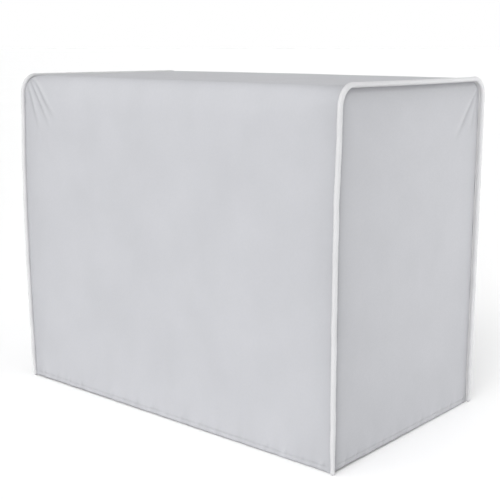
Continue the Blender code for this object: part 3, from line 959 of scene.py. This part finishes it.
def make_foot(node):
    """A rubber foot: a flat pad with a grooved sole and a ribbed stem."""
    low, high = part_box(node)
    pad, tall = (high.x - low.x) / 2, high.z - low.z
    stem, pad_tall, groove = 0.0035, 0.0037, 0.0006
    profile = [(0, groove), (0.0022, groove), (0.0026, 0.0), (0.0046, 0.0), (0.0049, groove)]
    profile += [(0.0056, groove), (0.0059, 0.0), (pad - 0.0006, 0.0), (pad - 0.0002, 0.0002), (pad, 0.0007)]
    profile += [(pad, pad_tall - 0.0009), (pad - 0.0003, pad_tall - 0.0003), (pad - 0.0009, pad_tall)]
    profile += [(stem, pad_tall)]
    between = stem - 0.0003  # the stem's radius between its ribs
    for rib in range(3):
        base = pad_tall + 0.0014 + rib * 0.002
        profile += [(between, base - 0.0004), (stem, base), (stem, base + 0.0004), (between, base + 0.0012)]
    profile += [(stem - 0.0006, tall - 0.0006), (stem - 0.0012, tall - 0.0001), (0, tall)]
    foot = lathed(node + "_pad", profile, 48, FOOT_RUBBER)
    foot.data.transform(Matrix.Translation(((low.x + high.x) / 2, (low.y + high.y) / 2, low.z)))
    foot.data.set_sharp_from_angle(angle=math.radians(50))
    return foot


def make_frame_pieces():
    for node, thing in list(frame["nodes"].items()):
        body = thing["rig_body"]
        if "rail" in node or node.startswith("post"):
            piece, slot = make_tube(node), "tube_coating"
        elif "corner" in node:
            piece, slot = make_corner(node), "corner_plastic"
        elif node.startswith("foot"):
            piece, slot = make_foot(node), "foot_rubber"
        else:
            continue
        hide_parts(node)
        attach(piece, body)


def join_cover(piece, node=None):
    """Puts a piece on the cover, in place of the CAD node that it stands for."""
    if node:
        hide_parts(node)
    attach(piece, "cover")


def make_cover_pieces():
    stitches = make_hem_stitches()
    for stitch in stitches.values():
        join_cover(stitch)
    wrap = make_wrap_sheet()
    join_cover(wrap, "wrap_panel")
    with_wrap = [stitches["front"], stitches["back"]]
    for side, x_side in (("left", -1), ("right", 1)):
        sheet = make_end_sheet(side + "_end_sheet", x_side)
        join_cover(sheet, side + "_end_panel")
        casing, core = make_piping(side, x_side)
        join_cover(casing, side + "_piping")
        join_cover(core, side + "_piping_cord")
        tape, tape_stitches = make_binding(side, x_side)
        join_cover(tape, side + "_seam_tape")
        join_cover(tape_stitches)
        with_wrap += [tape, tape_stitches]


# ---------------- studio

CAMERA_AT = Vector((1.0285, -1.1872, 0.5571))
CAMERA_AZIMUTH, CAMERA_ELEVATION, CAMERA_ROLL = 40.509, 11.778, 0.015
CAMERA_LENS = 72.94


def toward(azimuth, elevation):
    """The direction from the object at these degrees round from the front and up from level."""
    around, up = math.radians(azimuth), math.radians(elevation)
    return Vector((math.sin(around) * math.cos(up), -math.cos(around) * math.cos(up), math.sin(up)))


def make_camera():
    data = bpy.data.cameras.new("camera")
    data.lens = CAMERA_LENS
    data.sensor_width = 36
    camera = bpy.data.objects.new("camera", data)
    back = toward(CAMERA_AZIMUTH, CAMERA_ELEVATION)
    right = (-back).cross(Vector((0, 0, 1))).normalized()
    up = right.cross(-back)
    turn = Matrix((right, up, back)).transposed() @ Matrix.Rotation(math.radians(CAMERA_ROLL), 3, "Z")
    camera.matrix_world = Matrix.Translation(CAMERA_AT) @ turn.to_4x4()
    bpy.context.scene.collection.objects.link(camera)
    bpy.context.scene.camera = camera


def make_floor():
    bm = bmesh.new()
    bmesh.ops.create_circle(bm, cap_ends=True, segments=96, radius=60)
    mesh = bpy.data.meshes.new("floor")
    bm.to_mesh(mesh)
    bm.free()
    look = Look("floor_paint", 0.75, 0.2)
    tone = look.noise(look.place(), 0.8, 3)
    base = look.mix(tone, (0.93, 0.93, 0.93, 1), (0.96, 0.96, 0.96, 1))
    grain = look.noise(look.place(), 0.004, 3)
    look.join(Base_Color=base, Normal=look.bump(grain, 0.0001, 0.3))
    new_object("floor", mesh, look.material)


SKY_TOP = 0.15  # the sky's brightness overhead, where it is 1 round the horizon
SKY_FROM, SKY_TO = 0.25, 0.7  # it falls between these heights, with 1 straight up


def make_sky():
    """A white studio wall round the horizon, darker overhead."""
    world = bpy.data.worlds.new("studio")
    bpy.context.scene.world = world
    world.use_nodes = True
    nodes, links = world.node_tree.nodes, world.node_tree.links
    place = nodes.new("ShaderNodeTexCoord")
    split = nodes.new("ShaderNodeSeparateXYZ")
    ramp = nodes.new("ShaderNodeValToRGB")
    ramp.color_ramp.elements[0].position = SKY_FROM
    ramp.color_ramp.elements[0].color = (1, 1, 1, 1)
    ramp.color_ramp.elements[1].position = SKY_TO
    ramp.color_ramp.elements[1].color = (SKY_TOP, SKY_TOP, SKY_TOP, 1)
    links.new(place.outputs["Generated"], split.inputs[0])
    links.new(split.outputs["Z"], ramp.inputs[0])
    links.new(ramp.outputs[0], nodes["Background"].inputs["Color"])


# Soft distant lights: name, degrees round from the front, degrees up, spread in degrees, strength
LIGHTS = (
    ("key", 20, 33, 50, 1.95),
    ("left_key", -35, 28, 50, 0.60),
    ("overhead", 0, 85, 50, 0.83),
    ("back_fill", 205, 8, 50, 0.35),
)

# A soft box off the back right corner, near enough to light the back of the right end more than its front
SIDE_BOX_AT, SIDE_BOX_SIZE, SIDE_BOX_POWER = Vector((1.3, 0.9, 0.38)), 0.9, 7.6


def hang_lamp(data, place, back):
    """Hangs a light at a place. back is the direction that it shines from."""
    lamp = bpy.data.objects.new(data.name, data)
    lamp.location = place
    lamp.rotation_euler = back.to_track_quat("Z", "Y").to_euler()
    bpy.context.scene.collection.objects.link(lamp)
    return lamp


def make_lights():
    for name, azimuth, elevation, spread, strength in LIGHTS:
        data = bpy.data.lights.new(name, "SUN")
        data.angle = math.radians(spread)
        data.energy = strength
        back = toward(azimuth, elevation)
        hang_lamp(data, back * 3, back)
    data = bpy.data.lights.new("side_box", "AREA")
    data.size = SIDE_BOX_SIZE
    data.energy = SIDE_BOX_POWER
    middle_of_end = Vector((FACE_X, 0, TOP_Z / 2))
    hang_lamp(data, SIDE_BOX_AT, SIDE_BOX_AT - middle_of_end).visible_camera = False


make_camera()
make_floor()
make_sky()
make_lights()
make_frame_pieces()
make_cover_pieces()
bpy.context.scene.view_settings.view_transform = "Standard"
